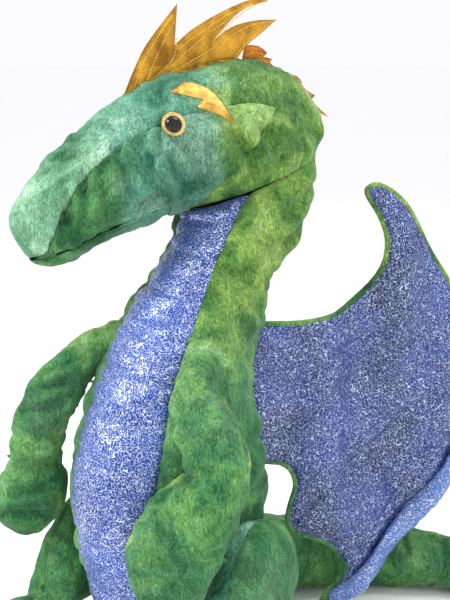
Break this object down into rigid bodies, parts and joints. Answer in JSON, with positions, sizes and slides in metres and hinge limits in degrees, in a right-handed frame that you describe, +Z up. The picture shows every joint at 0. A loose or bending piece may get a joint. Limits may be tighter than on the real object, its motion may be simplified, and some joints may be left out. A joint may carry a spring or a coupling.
{
  "type": "plush dragon",
  "caption": "Seated stuffed dragon with a long neck and snout, soft crest, winged back, curved tail and fabric-hinged head, jaw and limbs.",
  "frame": {"origin": "centre of the seat panel's underside, where the toy rests", "axes": "+Z up along the seated body, -Y the way the belly faces, +X the dragon's left side"},
  "size_m": [0.3344, 0.3551, 0.469],
  "materials": {
    "green_plush": "short mottled pile",
    "teal_plush": "short mottled pile",
    "blue_sparkle_lining": "knit with a fine metallic dot print",
    "light_blue_binding": "satin binding",
    "gold_lame": "metallic gold fabric with yellow topstitching",
    "orange_lame": "metallic orange-gold fabric",
    "gold_iris": "glitter",
    "black_eye_plastic": "polished",
    "white_plastic": "moulded",
    "polyester_filling": "loose fibre",
    "pellet_bag_cotton": "woven cotton"
  },
  "bodies": {
    "torso": {"torso_stuffing": "polyester_filling", "belly_panel": "blue_sparkle_lining", "left_body_panel": "green_plush", "right_body_panel": "green_plush", "seat_panel": "green_plush", "pellet_bag": "pellet_bag_cotton", "nape_flap": "green_plush"},
    "head": {"head_stuffing": "polyester_filling", "crown_panel": "teal_plush", "left_muzzle_panel": "green_plush", "right_muzzle_panel": "green_plush", "left_cheek_panel": "teal_plush", "right_cheek_panel": "teal_plush", "left_temple_panel": "green_plush", "right_temple_panel": "green_plush", "left_brow": "gold_lame", "right_brow": "gold_lame", "crest_front": "gold_lame", "crest_lobes": "orange_lame", "crest_nape": "gold_lame", "left_iris_ring": "gold_iris", "right_iris_ring": "gold_iris", "left_eye_dome": "black_eye_plastic", "right_eye_dome": "black_eye_plastic", "left_eye_washer": "white_plastic", "right_eye_washer": "white_plastic", "palate_panel": "green_plush"},
    "jaw": {"jaw_stuffing": "polyester_filling", "jaw_skin": "green_plush", "jaw_lining": "green_plush"},
    "left_arm": {"left_arm_stuffing": "polyester_filling", "left_arm_front_panel": "green_plush", "left_arm_back_panel": "green_plush"},
    "right_arm": {"right_arm_stuffing": "polyester_filling", "right_arm_front_panel": "green_plush", "right_arm_back_panel": "green_plush"},
    "left_leg": {"left_leg_stuffing": "polyester_filling", "left_leg_outer_panel": "green_plush", "left_leg_inner_panel": "green_plush"},
    "right_leg": {"right_leg_stuffing": "polyester_filling", "right_leg_outer_panel": "green_plush", "right_leg_inner_panel": "green_plush"},
    "left_wing": {"left_wing_lining": "blue_sparkle_lining", "left_wing_padding": "polyester_filling", "left_wing_back": "green_plush", "left_wing_rim_roll": "light_blue_binding"},
    "right_wing": {"right_wing_lining": "blue_sparkle_lining", "right_wing_padding": "polyester_filling", "right_wing_back": "green_plush", "right_wing_rim_roll": "light_blue_binding"},
    "tail": {"tail_stuffing": "polyester_filling", "tail_left_panel": "green_plush", "tail_right_panel": "green_plush"}
  },
  "joints": [
    {"name": "neck_bend", "type": "hinge", "parent": "torso", "child": "head", "pos_m": [0.0178, 0.1421, 0.3522], "axis": [0.9063, -0.4226, 0], "range_deg": [-20, 0], "stiffness_Nm_per_rad": 4},
    {"name": "jaw_open", "type": "hinge", "parent": "head", "child": "jaw", "pos_m": [-0.0393, 0.0197, 0.3195], "axis": [0.9063, -0.4226, 0], "range_deg": [0, 12], "stiffness_Nm_per_rad": 0.4},
    {"name": "left_arm_swing", "type": "hinge", "parent": "torso", "child": "left_arm", "pos_m": [0.0575, -0.037, 0.206], "axis": [-0.766, -0.6428, 0], "range_deg": [0, 50], "stiffness_Nm_per_rad": 1.2},
    {"name": "right_arm_swing", "type": "hinge", "parent": "torso", "child": "right_arm", "pos_m": [-0.059, -0.033, 0.206], "axis": [-0.6428, 0.766, 0], "range_deg": [0, 35], "stiffness_Nm_per_rad": 1.2},
    {"name": "left_leg_lift", "type": "hinge", "parent": "torso", "child": "left_leg", "pos_m": [0.076, 0.004, 0.052], "axis": [-0.9404, -0.3401, 0], "range_deg": [0, 11], "stiffness_Nm_per_rad": 2},
    {"name": "right_leg_lift", "type": "hinge", "parent": "torso", "child": "right_leg", "pos_m": [-0.076, -0.008, 0.052], "axis": [-0.995, 0.0995, 0], "range_deg": [0, 12], "stiffness_Nm_per_rad": 2},
    {"name": "left_wing_sway", "type": "hinge", "parent": "torso", "child": "left_wing", "pos_m": [0.033, 0.066, 0.1], "axis": [0, 0, 1], "range_deg": [-12, 12], "stiffness_Nm_per_rad": 0.3},
    {"name": "right_wing_sway", "type": "hinge", "parent": "torso", "child": "right_wing", "pos_m": [-0.033, 0.066, 0.1], "axis": [0, 0, -1], "range_deg": [-12, 12], "stiffness_Nm_per_rad": 0.3},
    {"name": "tail_sway", "type": "hinge", "parent": "torso", "child": "tail", "pos_m": [0, 0.108, 0.04], "axis": [0, 0, 1], "range_deg": [-10, 25], "stiffness_Nm_per_rad": 0.6}
  ]
}
